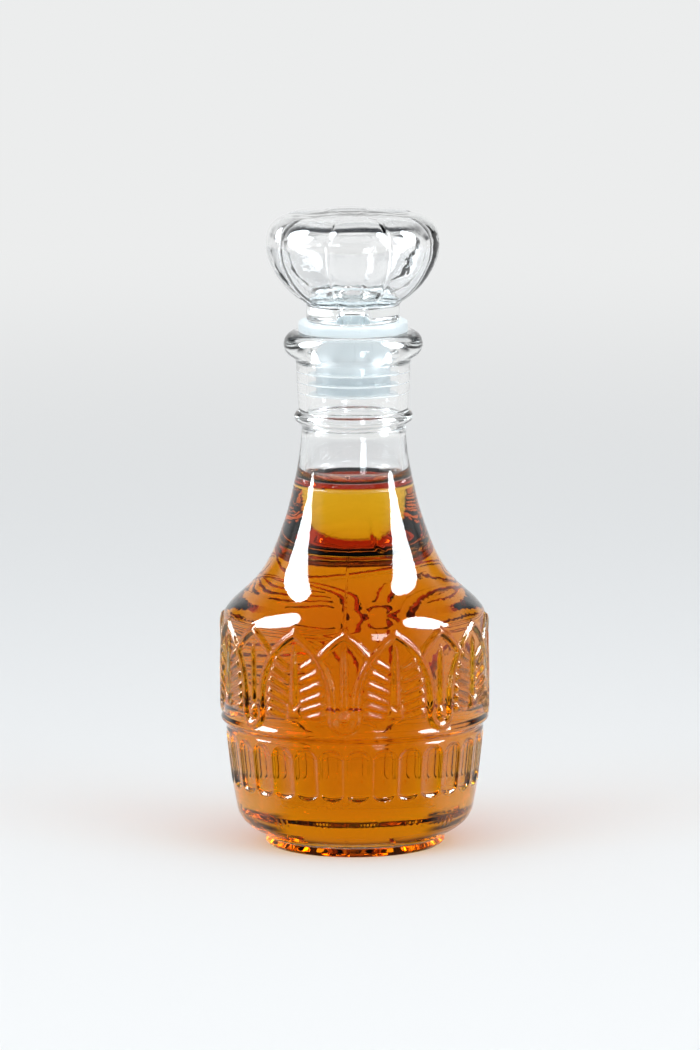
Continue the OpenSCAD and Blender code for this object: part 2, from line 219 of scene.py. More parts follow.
def body_radius(z):
    """Radius of the plain body at a height, before flutes and pattern: wall, ledge, band, shoulder
    and neck in turn."""
    wall = smooth_through(body_z, body_r, np.clip(z, body_z[0], LEDGE_LOW))
    ledge = ledge_radius(np.clip(z, LEDGE_LOW, LEDGE_TOP))
    neck = smooth_through(shoulder_z, shoulder_r, np.clip(z, SHOULDER_Z, shoulder_z[-1]))
    above_ledge = np.where(z < SHOULDER_Z, BAND_R, neck)
    return np.where(z < LEDGE_LOW, wall, np.where(z < LEDGE_TOP, ledge, above_ledge))


print("body radius at 10, 35, 50 and 90 mm:", np.round(body_radius(np.array([10, 35, 50, 90.0])), 2))

# %% [markdown]
# ## The pattern
#
# Raised ribs make an arcade of eight pointed arches round the band, with a second row of arches
# behind them. Where two front arches meet, their ribs run down into a loop that holds a drop, and
# a spire stands on it. Each arch frames a leaf: a notched pedestal, a midrib and seven thick lobes
# on each side. In iron such a pattern is cut with round-nosed tools, so every rib has a round
# section. The height of the pattern is a function of the place on the glass: for each rib, the
# distance to its middle line gives the height, and the highest rib wins.

# %% Ribs and arches
ARCHES = 8
ARCH_SPAN = 22.5
SPRING_Z = 45.1
HALF_PITCH = np.radians(180 / ARCHES) * BAND_R
LOOP_Z = 41.4
LOOP_R = HALF_PITCH - ARCH_SPAN / 2


def ridge(distance, half_width):
    """Section of a round rib: 1 in its middle, falling to zero at its edge as the 0.7 power of one
    minus the square of the distance, which is steep at the edge."""
    return np.clip(1 - (distance / half_width) ** 2, 0, None) ** 0.7


def between(z, low, low_run, top, top_run):
    """1 between the heights low and top, and 0 outside. It climbs and falls in straight lines, which
    are low_run and top_run long and lie inside."""
    return np.clip((z - low) / low_run, 0, 1) * np.clip((top - z) / top_run, 0, 1)


def to_segment(x, z, a, b):
    """Distance from each point to the line from a to b, and how far along the line its nearest point
    lies, 0 to 1."""
    way = np.subtract(b, a)
    t = np.clip(((x - a[0]) * way[0] + (z - a[1]) * way[1]) / (way @ way), 0, 1)
    return np.hypot(x - a[0] - t * way[0], z - a[1] - t * way[1]), t


def arch_line(x, z):
    """Distance to the middle line of one side of a pointed arch centred at x = 0. Its arc is centred
    on the far springing point, a span away, and below the springing line the rib runs straight down."""
    side = np.abs(x)
    above = np.hypot(side + ARCH_SPAN / 2, z - SPRING_Z) - ARCH_SPAN
    return np.where(z > SPRING_Z, above, side - ARCH_SPAN / 2)


print("an arch is", ARCH_SPAN, "mm wide, and the loop between two has a radius of", round(LOOP_R, 2), "mm")

# %% [markdown]
# The leaf stands in the middle of its arch. A lobe is a line with a thick round tip near the rib and
# a thin root near the midrib, so one function of the distance to a line makes all fourteen.

# %% Leaf inside an arch
PEDESTAL_HALF = 2.1
PEDESTAL_LOW, PEDESTAL_TOP = 37.5, 45.4
NOTCH = 1.7
BLADE_LOW, BLADE_TOP = 44.2, 61.3
lobe_tips = [(8.05, 39.6), (8.2, 42.4), (8.2, 45.1), (8.1, 47.8), (7.75, 50.9), (6.85, 54.0), (5.45, 57.0)]
lobe_roots = [(3.1, 38.6), (3.0, 40.8), (2.75, 43.3), (2.55, 45.7), (2.45, 48.7), (2.35, 51.9), (2.2, 55.2)]


def leaf_height(x, z):
    """Height of the leaf, 0 to 1: a pedestal with a V-shaped notch in its top, a midrib that narrows
    to a point, and the lobes, whose half width and height grow along their lines."""
    side = np.abs(x)
    half = PEDESTAL_HALF - 0.25 * np.clip((39 - z) / 1.6, 0, 1) ** 2
    notched_top = PEDESTAL_TOP - NOTCH * np.clip(1 - side / PEDESTAL_HALF, 0, 1)
    pedestal = np.clip((half - side) / 0.55, 0, 1) * between(z, PEDESTAL_LOW, 0.5, notched_top, 0.6)
    blade_half = np.interp(z, [44.3, 45.6, 56, BLADE_TOP], [0.3, 1.15, 0.8, 0.1])
    blade = ridge(side, blade_half) * between(z, BLADE_LOW, 0.6, BLADE_TOP, 0.8)
    height = np.maximum(0.85 * np.sqrt(pedestal), 0.9 * blade**0.8)
    for tip, root in zip(lobe_tips, lobe_roots):
        distance, along = to_segment(side, z, root, tip)
        height = np.maximum(height, ridge(distance, 0.62 + 0.5 * along) * (0.55 + 0.45 * along))
    return height


print("a leaf has", 2 * len(lobe_tips), "lobes")

# %% [markdown]
# Everything else is measured from the nearest spire: the front arches, the loop under the spire, the
# arches behind, which the front ones hide, the spire itself and the drop in the loop.

# %% Height of the pattern
RELIEF = 0.95
SPIRE_LOW, SPIRE_TOP = 44.1, 60.7
DROP_Z, DROP_HALF_WIDTH, DROP_HALF_HEIGHT = 41.3, 1.45, 2.15
LEAF_HALF = 10.2


def pattern_height(angle, z):
    """Height of the moulded pattern in millimetres at an angle in degrees from -Y and a height z."""
    pitch = 360 / ARCHES
    from_spire = np.radians((angle + pitch / 2) % pitch - pitch / 2) * BAND_R
    from_arch = HALF_PITCH - np.abs(from_spire)
    loop = np.hypot(from_spire, z - LOOP_Z) - LOOP_R
    front = np.where(z > LOOP_Z, arch_line(from_arch, z), loop)
    rib_half = np.interp(z, [38, 45, 64], [1.15, 1.05, 0.85])
    height = ridge(front, rib_half)
    behind = np.where((front > 0) & (z > SPRING_Z), ridge(arch_line(from_spire, z), 0.95), 0)
    height = np.maximum(height, 0.95 * behind)
    spire_half = np.interp(z, [44.2, 45, 57.5, 60.6], [0.7, 1.05, 0.7, 0.1])
    spire = ridge(from_spire, spire_half) * between(z, SPIRE_LOW, 0.5, SPIRE_TOP, 0.8)
    aside, up = from_spire / DROP_HALF_WIDTH, (z - DROP_Z) / DROP_HALF_HEIGHT
    drop = np.sqrt(np.clip(1 - aside**2 - up**2, 0, None))
    height = np.maximum(height, np.maximum(0.9 * spire, drop))
    inside_arch = (front < 0) & (np.abs(from_arch) < LEAF_HALF)
    height = np.maximum(height, np.where(inside_arch, leaf_height(from_arch, z), 0))
    return RELIEF * height


print("height at a spire's middle, 50 mm up:", np.round(pattern_height(np.array([0.0]), np.array([50.0])), 2))

# %% [markdown]
# ## The flutes
#
# Below the ledge stand thirty shallow channels side by side, with a round head like a niche and a
# lower, flatter round at the foot. Each is nearly as wide as its share of the wall, so only a hair
# of glass is left between two. The section of a flute is half an ellipse, steep at its edges, over
# the distance from its middle line. Past each end of the straight part that distance is taken from
# the last point of the line, which rounds the head and the foot.

# %% Depth of the flutes
FLUTES = 30
FLUTE_LOW, FLUTE_TOP = 17.7, 32.4
FLUTE_DEPTH = 0.85
FLUTE_HALF = 3.35
FOOT_ROUND = 2.2


def flute_depth(angle, z):
    """Depth of the flutes in millimetres at an angle in degrees from -Y and a height z."""
    pitch = 360 / FLUTES
    x = np.radians(angle % pitch - pitch / 2) * body_radius(z)
    head = np.clip(z - (FLUTE_TOP - FLUTE_HALF), 0, None)
    foot = np.clip(FLUTE_LOW + FOOT_ROUND - z, 0, None) * FLUTE_HALF / FOOT_ROUND
    distance = np.hypot(x, head + foot)
    return FLUTE_DEPTH * np.sqrt(np.clip(1 - (distance / FLUTE_HALF) ** 2, 0, None))


print("a flute is", 2 * FLUTE_HALF, "mm wide and its pitch", round(2 * np.pi * body_r[-1] / FLUTES, 2), "mm")
# %% [markdown]
# ## The glass body
#
# The glass is a real wall with an outside and an inside, because what makes a filled bottle look
# like one is the way light bends at each surface. The outside goes up from the middle of the
# underside to the mouth. Only its patterned part is a fine grid. The two halves of the mould leave a
# fine seam at the front and at the back, which stands on the plain glass.

# %% Outside of the bottle
FINE, MIDDLE, PLAIN = 720, 240, 120
LIP_TOP = 144.8
RECESS_Z = 2.4
PATTERN_LOW = 36.9
GROUND_LOW, GROUND_TOP = 37.1, 66.2
SUNK = 0.30
SEAM_HEIGHT, SEAM_HALF = 0.12, 0.5

under = eased(
    [[1, RECESS_Z], [19.4, RECESS_Z], [21.8, 0.0], [24.4, 0.0], [25.2, 0.9], [25.25, 2.7], [25.8, 3.25]],
    [0.8, 0.5, 0.5, 0.4, 0.3],
)
heel_z = np.concatenate([np.linspace(3.5, 12, 13), np.linspace(13, 17, 4)])
foot_block = block(np.append(under[:, 0], body_radius(heel_z)), np.append(under[:, 1], heel_z), MIDDLE)

relief_z = np.concatenate([
    np.linspace(17.4, 20.2, 9), np.linspace(21.5, 28.2, 4), np.linspace(29.1, 32.7, 13),
    np.linspace(33.0, 37.1, 10), np.linspace(37.4, 65.2, 69), [65.8, 66.4],
])
z_grid, angle_grid = np.meshgrid(relief_z, 360 * np.arange(FINE) / FINE, indexing="ij")
on_band = np.clip((z_grid - PATTERN_LOW) / 0.4, 0, 1)
ground = between(z_grid, GROUND_LOW, 0.8, GROUND_TOP, 2.2)
sunk = SUNK * ground * ground * (3 - 2 * ground)
carved = body_radius(z_grid) - flute_depth(angle_grid, z_grid)
carved = carved + pattern_height(angle_grid, z_grid) * on_band - sunk
seam_x = np.radians((angle_grid + 90) % 180 - 90) * BAND_R
seam = SEAM_HEIGHT * ridge(seam_x, SEAM_HALF)
carved = np.where(seam > 0, np.maximum(carved, body_radius(z_grid) - sunk + seam), carved)
relief_block = block(carved, relief_z, FINE)

neck_z = np.concatenate([np.linspace(67.2, 78, 12), np.linspace(80, 118.4, 14)])
neck = np.stack([body_radius(neck_z), neck_z], -1)
bead = arc(14.95, 120.95, 1.65, -75, 75, 9)
collar = np.array([[15.35, 123.0], [15.45, 124.2], [15.75, 130.0], [16.0, 136.0], [16.25, 137.3]])
lip = arc(15.75, 141.35, 3.7, -62, 62, 11)
mouth = np.array([[16.2, 144.75], [14.4, LIP_TOP], [13.6, 144.6], [12.9, 144.0], [12.72, 143.0]])
upper = np.concatenate([neck, bead, collar, lip, mouth])
upper_block = block(upper[:, 0], upper[:, 1], PLAIN)
print("rings on the foot, the pattern and the neck:", len(foot_block), len(relief_block), len(upper_block))

# %% [markdown]
# The hollow goes back down to the floor, and it has two kinds of surface: dry glass above the oil,
# and glass that touches oil. The oil has nearly the same index as the glass, so the lower part
# hardly bends light at all. Each face therefore carries a number that says whether it touches oil,
# which keeps the bottle free of the silvery rim that an air gap would make.

# %% Hollow of the bottle
OIL_Z = 102.4
CLIMB = 1.3
FLOOR_Z = 6.7
BORE_LOW = 122
BORE_R = 12.7

wall_z = [
    FLOOR_Z, 7.1, 8.2, 10, 13, 17, 25, 33, 40, 50, 60, 63.6,
    66.0, 68.5, 71.5, 75.5, 80, 86, 93.7, 102.8, 111.5, 119, BORE_LOW,
]
wall_r = [
    20.4, 24.2, 27.0, 28.9, 30.2, 31.0, 32.1, 33.0, 33.7, 33.95, 33.95, 33.8,
    33.0, 31.4, 28.6, 25.0, 21.6, 18.7, 16.2, 14.3, 13.15, 12.75, BORE_R,
]


def bore_radius(z):
    """Radius of the hollow at a height: the straight bore above, then the inside of shoulder, wall
    and heel."""
    return np.where(z > BORE_LOW, BORE_R, smooth_through(wall_z, wall_r, np.clip(z, FLOOR_Z, BORE_LOW)))


dry_z = np.concatenate([np.linspace(138, BORE_LOW, 5), np.linspace(118, OIL_Z + CLIMB, 6)])
wet_z = np.concatenate([np.linspace(OIL_Z + CLIMB, 70, 13), np.linspace(67, 12, 15), [10, 8.6, 7.6, 7.0]])
floor_profile = eased([[bore_radius(wet_z[-1:])[0], wet_z[-1]], [wall_r[0], FLOOR_Z], [1, FLOOR_Z]], 2.0)
wet_r = np.append(bore_radius(wet_z), floor_profile[1:, 0])
wet_heights = np.append(wet_z, floor_profile[1:, 1])
dry_block = block(bore_radius(dry_z), dry_z, PLAIN)
wet_block = block(wet_r, wet_heights, PLAIN)

bottle = skin(
    "bottle_glass", [foot_block, relief_block, upper_block, dry_block, wet_block],
    RECESS_Z, FLOOR_Z, contact=[0, 0, 0, 0, 1],
)

# %% [markdown]
# ## The oil
#
# The oil fills the hollow to the middle of the neck. Its surface is flat, but at the glass it
# climbs a little, which draws a bright line round the neck. It stays a hair inside the glass so
# that the two never share a face.

# %% Build the oil
GAP = 0.05
CREEP = 0.7
rising_r, rising_z = (wet_r - GAP)[::-1], wet_heights[::-1] + GAP
oil_low = np.stack([rising_r, rising_z], -1)[:-1]
rim_r = float(bore_radius(np.array([OIL_Z]))[0]) - GAP
in_from_wall = np.concatenate([[0.02, 0.15, 0.35, 0.6, 1.0, 1.5, 2.2, 3.2], np.linspace(5, rim_r - 1, 6)])
# the climb dies away as an exponential of the distance from the wall
surface_z = OIL_Z + (CLIMB - GAP) * np.exp(-in_from_wall / CREEP)
oil = skin(
    "oil",
    [block(oil_low[:, 0], oil_low[:, 1], PLAIN), block(rim_r - in_from_wall, surface_z, PLAIN)],
    FLOOR_Z + GAP, OIL_Z, contact=[1, 0],
)

# %% [markdown]
# ## The plastic plug
#
# The plug is one soft moulding: a round flange that lies on the lip, a sleeve that hangs in the
# neck, and three thin fins that seal against the glass. It is hollow, and the knob's shank is
# pushed into it from above.

# %% Build the plug
SLEEVE_LOW = LIP_TOP - 17.4
SLEEVE_R, SLEEVE_FOOT_R = 10.3, 10.0
FIN_PITCH = 3.0
FIN_TIP_R = 12.72
FLANGE_R = 15.3
SEAT_Z, FLANGE_TOP = LIP_TOP + 0.02, LIP_TOP + 3.0
SOCKET_R = 9.1
SOCKET_Z = SLEEVE_LOW + 1.25
plug_line = [[1, SLEEVE_LOW]]
for number in range(3):
    fin = SLEEVE_LOW + 0.1 + FIN_PITCH * number
    root_r = SLEEVE_R if number else SLEEVE_FOOT_R
    plug_line += [[root_r, fin], [BORE_R, fin - 0.05], [FIN_TIP_R, fin + 0.45], [SLEEVE_R, fin + 0.65]]
plug_line += [[SLEEVE_R, SEAT_Z], [FLANGE_R, SEAT_Z], [FLANGE_R, FLANGE_TOP], [SOCKET_R, FLANGE_TOP]]
plug_line += [[SOCKET_R, SOCKET_Z], [1, SOCKET_Z]]
plug_outline = eased(plug_line, [0.2] * 12 + [0.8, 0.35, 0.8, 0.3, 0.5], 5)
plug_block = block(plug_outline[:, 0], plug_outline[:, 1], PLAIN)
plug = skin("stopper_plug_moulded", [plug_block], SLEEVE_LOW, SOCKET_Z)

# %% [markdown]
# ## The glass knob
#
# The knob is a hollow glass fruit with eight lobes. Its profile is a smooth line, and the lobes
# come from pushing the surface inwards between them, along the profile's own normal. Pushed by the
# cube of the angle from a lobe's crest, the surface meets its neighbour in a narrow valley.

# %% Lobes
KNOB_COLUMNS = 240
KNOB_TURN = 9.5
LOBES = 8
VALLEY_ROUND = 0.05


def dense(points, count):
    """A smooth line through points: each coordinate is smooth_through of the length along the
    polyline."""
    points = np.asarray(points, float)
    along = np.concatenate([[0], np.cumsum(np.linalg.norm(np.diff(points, axis=0), axis=1))])
    at = np.linspace(0, along[-1], count)
    return np.stack([smooth_through(along, points[:, k], at) for k in (0, 1)], -1)


def valley(columns):
    """How far a column lies from its lobe's crest: 0 on the crest and 1 in the valley, rising with
    the cube of the angle, and rounded a little in the valley."""
    pitch = 360 / LOBES
    from_crest = np.abs((360 * np.arange(columns) / columns + pitch / 2) % pitch - pitch / 2) / (pitch / 2)
    here, next_lobe = from_crest**3, (2 - from_crest) ** 3
    return (here + next_lobe) / 2 - np.sqrt(((here - next_lobe) / 2) ** 2 + VALLEY_ROUND**2)


def lobed(profile, depth, columns, turn, side):
    """Rings of a lobed surface. Each profile point moves against its outward normal by its depth
    times the valley."""
    heading = np.gradient(profile, axis=0)
    normal = np.stack([heading[:, 1], -heading[:, 0]], -1) / np.linalg.norm(heading, axis=1, keepdims=True)
    push = np.asarray(depth)[:, None] * valley(columns)[None, :] * side
    radius = profile[:, :1] - normal[:, :1] * push
    height = profile[:, 1:] - normal[:, 1:] * push
    return block(radius, height, columns, turn)


print("a valley is", round(float(valley(KNOB_COLUMNS).max()), 3), "of its full depth")

# %% [markdown]
# The outside runs up over the fruit to the middle of its crown. The valleys are deepest above the
# knob's waist and fade out on the crown.

# %% Outside of the knob
CROWN_Z = 177.3
shell = dense([
    [13.0, 152.4], [13.4, 152.9], [13.95, 153.5], [15.2, 154.3], [16.5, 155.2], [18.4, 156.9],
    [19.9, 158.6], [21.1, 160.3], [22.1, 162.0], [23.0, 163.7], [23.65, 165.4], [24.05, 167.0],
    [24.2, 168.7], [24.2, 170.4], [24.0, 172.0], [23.5, 173.8], [22.3, 175.5], [21.4, 176.3],
    [20.3, 177.0], [18.9, 177.55], [17.3, 177.78],
], 52)
crown = np.array([[15.5, 177.75], [13.5, 177.62], [11, 177.48], [8, 177.38], [4.5, 177.32], [1, CROWN_Z]])
shell_depth = np.interp(np.linspace(0, 1, len(shell)), [0, 0.12, 0.45, 0.8, 1], [0, 0.4, 1.15, 1.25, 0.8])
outer_depth = np.append(shell_depth, [0.6, 0.3, 0.1, 0, 0, 0])
outside = lobed(np.concatenate([shell, crown]), outer_depth, KNOB_COLUMNS, KNOB_TURN, 1)
print("the knob's outside has", len(outside), "rings of", KNOB_COLUMNS, "columns")

# %% [markdown]
# The shank fits the plug's socket, and a shoulder above it rests on the plug. The hollow follows the
# lobes more softly than the outside, as glass does when it is blown into a mould, and a narrow blow
# hole leads down through the shank.

# %% Hollow, shank and whole knob
SHANK_LOW, SHANK_R = 129.6, 9.05
HOLE_R = 3.0
HOLLOW_LOW, HOLLOW_TOP = 154.4, 175.3
NECK_TOP_Z = 152.3

shank = eased([
    [1, SHANK_LOW + 0.35], [2.9, SHANK_LOW + 0.35], [HOLE_R, SHANK_LOW], [SHANK_R, SHANK_LOW],
    [SHANK_R + 0.02, FLANGE_TOP], [12.6, FLANGE_TOP + 0.02], [13.0, FLANGE_TOP + 0.5], [13.0, NECK_TOP_Z],
], [0.2, 0.2, 0.5, 0.3, 0.3, 0.4])
blow_hole = eased([[HOLE_R, 130.2], [HOLE_R, 154.1], [HOLE_R + 0.3, HOLLOW_LOW]], 0.3)
hollow = dense([
    [HOLE_R + 0.05, HOLLOW_LOW], [7.5, 154.5], [11.5, 155.0], [14.6, 156.6], [17.2, 158.8], [19.3, 161.4],
    [20.9, 164.2], [21.8, 167.0], [22.1, 169.3], [21.9, 171.4], [21.0, 173.2], [19.2, 174.6],
    [16.4, 175.25], [11.0, 175.35], [6.0, HOLLOW_TOP], [1.0, HOLLOW_TOP],
], 44)
depth_at = np.linspace(0, 1, len(hollow))
hollow_depth = np.interp(depth_at, [0, 0.15, 0.4, 0.62, 0.78, 1], [0, 0.2, 0.9, 0.8, 0.05, 0])

inside = lobed(hollow[::-1], hollow_depth[::-1], KNOB_COLUMNS, KNOB_TURN, -1)
hole = block(blow_hole[::-1, 0], blow_hole[::-1, 1], 60, KNOB_TURN)
stem = block(shank[:, 0], shank[:, 1], PLAIN, KNOB_TURN)
knob = skin("stopper_knob_glass", [inside, hole, stem, outside], HOLLOW_TOP, CROWN_Z)

# %% [markdown]
# ## Which part moves with what
#
# The bottle and its oil stay put. The plug and the knob lift out together, so both ride on the
# stopper. Each fine piece stands for the imported part of the same shape.

# %% Ride and replace
for piece, body, part, finish in (
    (bottle, "bottle", "bottle", "clear_glass"),
    (oil, "bottle", "oil", "amber_oil"),
    (plug, "stopper", "stopper_plug", "translucent_plastic"),
    (knob, "stopper", "stopper_knob", "stopper_glass"),
):
    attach(piece, body)
    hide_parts(part)
    print(piece.name, "rides on", body, "and stands for", part)

# %% [markdown]
# ## Finishes
#
# A helper adds one node with its settings and links, and another turns a hex colour into the
# linear numbers that Blender mixes light in.

# %% Material helpers
CLEAR = (1, 1, 1, 1)


def linear(hex_colour):
    """The sRGB hex colour as linear red, green, blue and alpha: below 0.04045 a share of 12.92, above
    it the 2.4 power."""
    srgb = np.array([int(hex_colour[i:i + 2], 16) / 255 for i in (1, 3, 5)])
    return (*np.where(srgb <= 0.04045, srgb / 12.92, ((srgb + 0.055) / 1.055) ** 2.4), 1.0)


def node(tree, kind, settings=None, **inputs):
    """Adds one node. settings are its own properties. An input is named, or numbered as in _0, and its
    value is a number or colour, or a socket to link."""
    made = tree.nodes.new(kind)
    for key, value in (settings or {}).items():
        setattr(made, key, value)
    for key, value in inputs.items():
        socket = made.inputs[int(key[1:]) if key[1:].isdigit() else key.replace("_", " ")]
        if isinstance(value, bpy.types.NodeSocket):
            tree.links.new(value, socket)
        else:
            socket.default_value = value
    return made


def material(name):
    """A new material with nothing but its output, and the tree to build it in."""
    made = bpy.data.materials.new(name)
    made.use_nodes = True
    made.node_tree.nodes.clear()
    return made, made.node_tree, made.node_tree.nodes.new("ShaderNodeOutputMaterial")


print("middle grey in linear light:", np.round(linear("#808080")[0], 3))

# %% [markdown]
# ### Pressed soda-lime glass
#
# Bottle glass has an index of 1.52. A pressed surface has met cold iron, so it isn't flat like
# window glass: a faint ripple a few millimetres long, and a finer orange peel, bend what is seen
# through it. The glass itself takes a little red, which shows only where a rim is seen end on. The
# iron also leaves its own marks, a fine seam and groups of short strokes on the heel.

# %% Index and shadow of glass
GLASS_IOR, OIL_IOR = 1.52, 1.47


def index_at_contact(tree, free, touching):
    """The index of each face: free where it meets air, and touching where glass and oil meet."""
    contact = node(tree, "ShaderNodeAttribute", {"attribute_name": "contact"})
    index = node(tree, "ShaderNodeMapRange", Value=contact.outputs["Fac"], To_Min=free, To_Max=touching)
    return index.outputs[0]


def with_clear_shadow(tree, surface):
    """The surface as it is for the eye, and plain clear for light on its way to matt things: a ray
    that looks for a lamp, or one that left a matt surface, goes straight on. So the plug in the neck
    and the table behind the glass are lit."""
    path = node(tree, "ShaderNodeLightPath")
    passing = node(
        tree, "ShaderNodeMath", {"operation": "MAXIMUM"},
        _0=path.outputs["Is Shadow Ray"], _1=path.outputs["Is Diffuse Ray"],
    )
    clear = node(tree, "ShaderNodeBsdfTransparent", Color=CLEAR)
    mixed = node(tree, "ShaderNodeMixShader", _0=passing.outputs[0], _1=surface, _2=clear.outputs[0])
    return mixed.outputs[0]


print("index from glass to oil:", round(GLASS_IOR / OIL_IOR, 3))

# %% Marks of the mould
STROKES = 110
STROKE_Z, STROKE_HEIGHT = 9.6, 0.05
SEAM_BUMP = 0.04


def mould_marks(tree, place):
    """Height in millimetres of what the mould leaves: a fine seam where its halves met, at x = 0, and
    groups of short strokes on the heel. The strokes are the sine of many times the angle round the
    axis, and the groups the cosine of sixteen times it, where that is below zero."""
    axes = node(tree, "ShaderNodeSeparateXYZ", Vector=place)
    side = node(tree, "ShaderNodeMath", {"operation": "ABSOLUTE"}, _0=axes.outputs["X"])
    seam = node(
        tree, "ShaderNodeMapRange", {"interpolation_type": "SMOOTHSTEP"},
        Value=side.outputs[0], From_Min=0.0, From_Max=0.45 * MM, To_Min=SEAM_BUMP, To_Max=0.0,
    )
    turn = node(tree, "ShaderNodeMath", {"operation": "ARCTAN2"}, _0=axes.outputs["Y"], _1=axes.outputs["X"])
    many = node(tree, "ShaderNodeMath", {"operation": "MULTIPLY"}, _0=turn.outputs[0], _1=STROKES)
    wave = node(tree, "ShaderNodeMath", {"operation": "SINE"}, _0=many.outputs[0])
    around = node(tree, "ShaderNodeMath", {"operation": "MULTIPLY"}, _0=turn.outputs[0], _1=2 * ARCHES)
    group = node(tree, "ShaderNodeMath", {"operation": "COSINE"}, _0=around.outputs[0])
    group = node(tree, "ShaderNodeMath", {"operation": "MINIMUM"}, _0=group.outputs[0], _1=0.0)
    wave = node(tree, "ShaderNodeMath", {"operation": "MULTIPLY"}, _0=wave.outputs[0], _1=group.outputs[0])
    up = node(tree, "ShaderNodeMath", {"operation": "SUBTRACT"}, _0=axes.outputs["Z"], _1=STROKE_Z * MM)
    away = node(tree, "ShaderNodeMath", {"operation": "ABSOLUTE"}, _0=up.outputs[0])
    ring = node(
        tree, "ShaderNodeMapRange", {"interpolation_type": "SMOOTHSTEP"},
        Value=away.outputs[0], From_Min=0.8 * MM, From_Max=1.8 * MM, To_Min=STROKE_HEIGHT, To_Max=0.0,
    )
    marks = node(
        tree, "ShaderNodeMath", {"operation": "MULTIPLY_ADD"},
        _0=wave.outputs[0], _1=ring.outputs[0], _2=seam.outputs[0],
    )
    return marks.outputs[0]


print("strokes round the heel:", STROKES, "in", 2 * ARCHES, "groups")

# %% Glass finish
RIPPLE_SIZE, PEEL_SIZE = 7, 1.6
PEEL_SHARE = 0.12


def pressed_glass(name, ripple, tint, density, filled):
    """Clear glass with a rippled surface. ripple is the height of the waves in millimetres. The filled
    bottle also has the marks of its mould, and another index where it touches the oil."""
    made, tree, out = material(name)
    place = node(tree, "ShaderNodeTexCoord").outputs["Object"]
    waves = node(tree, "ShaderNodeTexNoise", Vector=place, Scale=1 / (RIPPLE_SIZE * MM), Detail=2.0)
    peel = node(tree, "ShaderNodeTexNoise", Vector=place, Scale=1 / (PEEL_SIZE * MM), Detail=1.0)
    both = node(
        tree, "ShaderNodeMath", {"operation": "MULTIPLY_ADD"},
        _0=peel.outputs["Fac"], _1=PEEL_SHARE, _2=waves.outputs["Fac"],
    )
    marks = mould_marks(tree, place) if filled else 0.0
    height = node(
        tree, "ShaderNodeMath", {"operation": "MULTIPLY_ADD"}, _0=both.outputs[0], _1=ripple, _2=marks,
    )
    bump = node(tree, "ShaderNodeBump", Strength=1.0, Distance=MM, Height=height.outputs[0])
    glass = node(
        tree, "ShaderNodeBsdfPrincipled", Base_Color=CLEAR, Roughness=0.0, IOR=GLASS_IOR,
        Transmission_Weight=1.0, Normal=bump.outputs[0],
    )
    if filled:
        tree.links.new(index_at_contact(tree, GLASS_IOR, GLASS_IOR / OIL_IOR), glass.inputs["IOR"])
    inside_glass = node(tree, "ShaderNodeVolumeAbsorption", Color=linear(tint), Density=density)
    tree.links.new(with_clear_shadow(tree, glass.outputs[0]), out.inputs["Surface"])
    tree.links.new(inside_glass.outputs[0], out.inputs["Volume"])
    return made


bottle.data.materials.append(pressed_glass("soda_lime_glass", 0.06, "#F4FBF8", 12.0, True))
knob.data.materials.append(pressed_glass("blown_knob_glass", 0.09, "#F4FBFA", 10.0, False))
print("glass on", bottle.name, "and", knob.name)

# %% [markdown]
# ### Amber oil
#
# Oil has no colour on its surface, only in its depth. It lets red through almost untouched, takes
# most of the green within a few centimetres, and blue within one. So a thin edge is yellow, the
# neck is orange and the body deep amber. The side of the oil bends no light, because the bottle's
# wetted faces already do, and only its free surface has the index of oil.

# %% Oil finish
OIL_COLOUR, OIL_DENSITY = (0.963, 0.812, 0.0), 145.0
amber, tree, out = material("amber_oil")
surface = node(
    tree, "ShaderNodeBsdfPrincipled", Base_Color=CLEAR, Roughness=0.0, IOR=OIL_IOR, Transmission_Weight=1.0,
)
tree.links.new(index_at_contact(tree, OIL_IOR, 1.0), surface.inputs["IOR"])
depth = node(tree, "ShaderNodeVolumeAbsorption", Color=(*OIL_COLOUR, 1.0), Density=OIL_DENSITY)
tree.links.new(with_clear_shadow(tree, surface.outputs[0]), out.inputs["Surface"])
tree.links.new(depth.outputs[0], out.inputs["Volume"])
oil.data.materials.append(amber)
# a volume keeps exp(-density (1 - colour) distance) of each colour, with the distance in metres
kept = np.exp(-OIL_DENSITY * (1 - np.array(OIL_COLOUR)) * 10 * MM)
print("share of red, green and blue left after 10 mm of oil:", np.round(kept, 2))

# %% [markdown]
# ### Soft polyethylene
#
# The plug is low-density polyethylene, moulded without colour. Its crystals scatter light, so it
# glows milky and a little blue, and its surface is satin.

# %% Plug finish
GRAIN_SIZE = 2.5
plastic, tree, out = material("natural_polyethylene")
place = node(tree, "ShaderNodeTexCoord").outputs["Object"]
grain = node(tree, "ShaderNodeTexNoise", Vector=place, Scale=1 / (GRAIN_SIZE * MM), Detail=3.0)
dull = node(tree, "ShaderNodeMapRange", Value=grain.outputs["Fac"], To_Min=0.22, To_Max=0.38)
skin_bump = node(tree, "ShaderNodeBump", Strength=0.5, Distance=0.03 * MM, Height=grain.outputs["Fac"])
body = node(
    tree, "ShaderNodeBsdfPrincipled", Base_Color=linear("#E6F1F6"), Roughness=dull.outputs[0], IOR=1.51,
    Subsurface_Weight=0.9, Subsurface_Radius=(1.0, 1.0, 1.0), Subsurface_Scale=2.5 * MM,
    Normal=skin_bump.outputs[0],
)
tree.links.new(body.outputs[0], out.inputs["Surface"])
plug.data.materials.append(plastic)
print("plastic on", plug.name)

# %% [markdown]
# ## The studio
#
# Clear glass shows only what surrounds it. A pale table that runs on into a pale room gives it
# something light to carry. To show the form of glass, a studio also needs black flags just out of
# view: an edge bends light the most, so it shows the flag as a dark line. Here the room has four
# soft dark zones between its pale walls, and a dark ceiling. A dark card also stands on the camera's
# side, and only reflections see it, so the front of the glass isn't veiled by the pale room's
# reflection.

